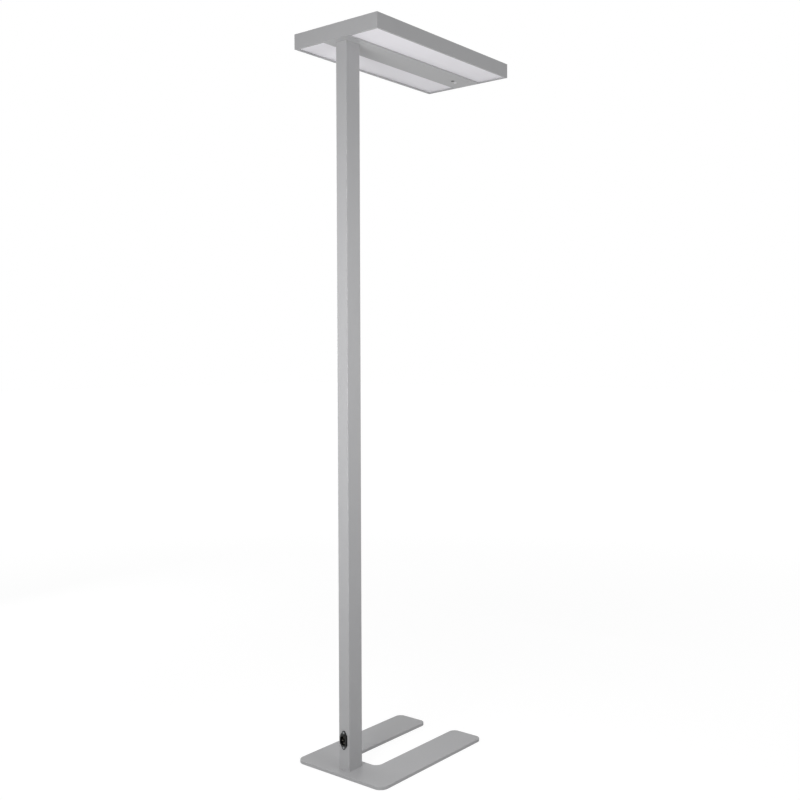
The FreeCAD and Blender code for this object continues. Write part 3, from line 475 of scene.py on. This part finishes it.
class LAMP_OT_controls(bpy.types.Operator):
    """Finish the push-button, its spring and the sensor's lens"""
    bl_idname = "lamp.controls"
    bl_label = "Controls"

    def execute(self, context):
        dress(moulded_charcoal(), "dimmer_button")
        dress(frosted_lens(), "sensor_lens")
        self.wind_spring()
        return {"FINISHED"}

    def wind_spring(self):
        """Coil spring that stands on the button's flange and presses on the board."""
        low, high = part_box("button_spring")
        wire = settings().spring_wire / 2
        tree, names = coil_tree(spring_wire())
        foot = ((low[0] + high[0]) / 2, (low[1] + high[1]) / 2, low[2] + wire)
        spring = grown("coil_spring", tree, {
            names["turns"]: float(settings().spring_turns),
            names["radius"]: (high[0] - low[0]) / 2 - wire,
            names["height"]: high[2] - low[2] - 2 * wire,
            names["wire"]: wire,
            names["foot"]: foot,
        })
        if len(spring.data.polygons) < FEWEST_FACES:
            raise RuntimeError("the coil spring has no faces")
        for polygon in spring.data.polygons:
            polygon.use_smooth = True
        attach(spring, "lamp")
        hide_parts("button_spring")
        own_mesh(spring)


# ------------------------------------------------------------------ studio
def area_light(name, place, target, size, power):
    """Soft rectangular lamp that faces its target, with a power in watts."""
    data = bpy.data.lights.new(name, "AREA")
    data.shape = "RECTANGLE"
    data.size, data.size_y = size
    data.energy = power
    light = bpy.data.objects.new(name, data)
    bpy.context.scene.collection.objects.link(light)
    aim = Vector(target) - Vector(place)
    light.matrix_world = (Matrix.Translation(Vector(place))
                          @ aim.to_track_quat("-Z", "Y").to_matrix().to_4x4())
    light.visible_camera = False


def seen_directly(tree):
    """One for camera, mirror and glass rays, which see the white of the backdrop."""
    path = add_node(tree, "ShaderNodeLightPath")
    direct = add_node(tree, "ShaderNodeMath", {"operation": "MAXIMUM"},
                      links={0: path.outputs["Is Camera Ray"], 1: path.outputs["Is Glossy Ray"]})
    return add_node(tree, "ShaderNodeMath", {"operation": "MAXIMUM"},
                    links={0: direct.outputs["Value"], 1: path.outputs["Is Transmission Ray"]})


def studio_world():
    """Even white surroundings, pure white where they are seen directly."""
    world = bpy.data.worlds.new("studio_world")
    bpy.context.scene.world = world
    world.use_nodes = True
    tree = world.node_tree
    tree.nodes.clear()
    strength = add_node(tree, "ShaderNodeMapRange",
                        values={"To Min": settings().world_strength, "To Max": 1.0},
                        links={"Value": seen_directly(tree).outputs["Value"]})
    sky = add_node(tree, "ShaderNodeBackground", values={"Color": WHITE},
                   links={"Strength": strength.outputs["Result"]})
    add_node(tree, "ShaderNodeOutputWorld", links={"Surface": sky.outputs["Background"]})


# Share of light that the paper sends back on to the lamp, and that which the eye sees of it
PAPER_BOUNCE = (0.56, 0.56, 0.56, 1.0)
PAPER_SEEN = (0.16, 0.16, 0.16, 1.0)
# Distances from the lamp, in metres, between which the paper's glow grows, and its strengths
GLOW_NEAR, GLOW_FAR = 0.8, 4.5
GLOW_LEAST, GLOW_MOST = 0.885, 0.967


def studio_floor():
    """White paper: it shows white out to the horizon, apart from the soft shadow of the lamp.

    The paper's own glow grows outwards as fast as the light of the soft lamps dies away.
    """
    half = settings().floor_size / 2
    mesh = bpy.data.meshes.new("studio_floor")
    corners = [(-half, -half, 0), (half, -half, 0), (half, half, 0), (-half, half, 0)]
    mesh.from_pydata(corners, [], [(0, 1, 2, 3)])
    floor = bpy.data.objects.new("studio_floor", mesh)
    bpy.context.scene.collection.objects.link(floor)
    material, tree = new_material("white_paper_backdrop")
    direct = seen_directly(tree)
    tone = add_node(tree, "ShaderNodeMix", {"data_type": "RGBA"},
                    {MIX_FIRST: PAPER_BOUNCE, MIX_SECOND: PAPER_SEEN},
                    {MIX_FACTOR: direct.outputs["Value"]})
    paper = add_node(tree, "ShaderNodeBsdfDiffuse", links={"Color": tone.outputs[MIX_RESULT]})
    place = add_node(tree, "ShaderNodeTexCoord")
    reach = add_node(tree, "ShaderNodeVectorMath", {"operation": "LENGTH"},
                     links={0: place.outputs["Object"]})
    level = add_node(tree, "ShaderNodeMapRange", {"interpolation_type": "SMOOTHSTEP"},
                     {"From Min": GLOW_NEAR, "From Max": GLOW_FAR,
                      "To Min": GLOW_LEAST, "To Max": GLOW_MOST},
                     {"Value": reach.outputs["Value"]})
    share = add_node(tree, "ShaderNodeMath", {"operation": "MULTIPLY"},
                     links={0: direct.outputs["Value"], 1: level.outputs["Result"]})
    glow = add_node(tree, "ShaderNodeEmission", values={"Color": WHITE},
                    links={"Strength": share.outputs["Value"]})
    both = add_node(tree, "ShaderNodeAddShader",
                    links={0: paper.outputs["BSDF"], 1: glow.outputs["Emission"]})
    add_node(tree, "ShaderNodeOutputMaterial", links={"Surface": both.outputs["Shader"]})
    mesh.materials.append(material)


# Place of the eye in metres, and its turns in degrees, as fitted to the photo's edges
EYE = (-1.77396, 2.22227, 1.09826)
YAW, PITCH, ROLL = -51.0264, -2.3750, -0.1195
LENS_MM, SENSOR_WIDTH_MM = 45.585, 36.0


def camera():
    """Camera at the eye's place: behind the lamp, to its left side, 1.1 m above the floor."""
    yaw, pitch, roll = math.radians(YAW), math.radians(PITCH), math.radians(ROLL)
    forward = Vector((math.cos(yaw) * math.cos(pitch), math.sin(yaw) * math.cos(pitch),
                      math.sin(pitch)))
    level = Vector((math.sin(yaw), -math.cos(yaw), 0.0))
    upright = level.cross(forward)
    right = level * math.cos(roll) + upright * math.sin(roll)
    up = upright * math.cos(roll) - level * math.sin(roll)
    data = bpy.data.cameras.new("studio_camera")
    data.sensor_width = SENSOR_WIDTH_MM
    data.lens = LENS_MM
    eye = bpy.data.objects.new("studio_camera", data)
    bpy.context.scene.collection.objects.link(eye)
    turn = Matrix((right, up, -forward)).transposed()
    eye.matrix_world = Matrix.Translation(Vector(EYE)) @ turn.to_4x4()
    bpy.context.scene.camera = eye


LIGHTS = {
    # name: place, point it faces, width and height, power in watts
    "back_softbox": ((-0.3, 1.3, 1.15), (0.0, 0.26, 1.15), (0.5, 0.9), 8.6),
    "back_fill": ((-0.2, 2.0, 1.15), (0.0, 0.25, 1.15), (1.0, 1.0), 13.6),
    "side_softbox": ((-1.1, 0.3, 1.2), (0.0, 0.24, 1.15), (0.5, 0.9), 1.3),
    "side_fill": ((-1.6, 0.2, 1.2), (0.0, 0.24, 1.15), (0.8, 0.8), 6.3),
    "overhead_softbox": ((0.0, -0.2, 3.0), (0.0, 0.0, 0.0), (1.6, 1.6), 6.0),
    "right_fill": ((2.4, 0.2, 1.3), (0.0, 0.0, 1.1), (1.6, 1.6), 16.0),
    "front_fill": ((1.9, -2.4, 1.4), (0.0, 0.0, 1.9), (1.0, 0.8), 2.2),
    "low_back": ((-0.4, 1.6, 0.35), (0.0, 0.0, 1.9), (0.8, 0.8), 1.6),
    "front_left": ((-1.8, -1.8, 1.3), (0.0, 0.0, 1.1), (1.4, 1.4), 13.6),
    "low_front": ((0.2, -1.7, 0.35), (0.0, 0.0, 1.9), (0.8, 0.8), 0.6),
}


class LAMP_OT_stage(bpy.types.Operator):
    """Make the pale floor, the soft lamps and the camera"""
    bl_idname = "lamp.stage"
    bl_label = "Studio"

    def execute(self, context):
        context.scene.view_settings.view_transform = "Standard"
        studio_world()
        studio_floor()
        for name, (place, target, size, power) in LIGHTS.items():
            area_light(name, place, target, size, power)
        camera()
        return {"FINISHED"}


# ------------------------------------------------------------------ panel and script
OPERATORS = (LAMP_OT_foot, LAMP_OT_mast, LAMP_OT_inlet, LAMP_OT_head, LAMP_OT_light,
             LAMP_OT_gear, LAMP_OT_controls, LAMP_OT_stage)


class LAMP_PT_panel(bpy.types.Panel):
    """List of the lamp's pieces"""
    bl_idname = "LAMP_PT_panel"
    bl_label = "Office floor lamp"
    bl_space_type = "VIEW_3D"
    bl_region_type = "UI"
    bl_category = "Lamp"

    def draw(self, context):
        for operator in OPERATORS:
            self.layout.operator(operator.bl_idname)


CLASSES = (LampProperties, *OPERATORS, LAMP_PT_panel)


def register():
    for cls in CLASSES:
        bpy.utils.register_class(cls)
    bpy.types.Scene.lamp_settings = PointerProperty(type=LampProperties)


def unregister():
    del bpy.types.Scene.lamp_settings
    for cls in reversed(CLASSES):
        bpy.utils.unregister_class(cls)


def main():
    register()
    for operator in OPERATORS:
        group, name = operator.bl_idname.split(".")
        getattr(getattr(bpy.ops, group), name)()


if __name__ == "__main__":
    main()
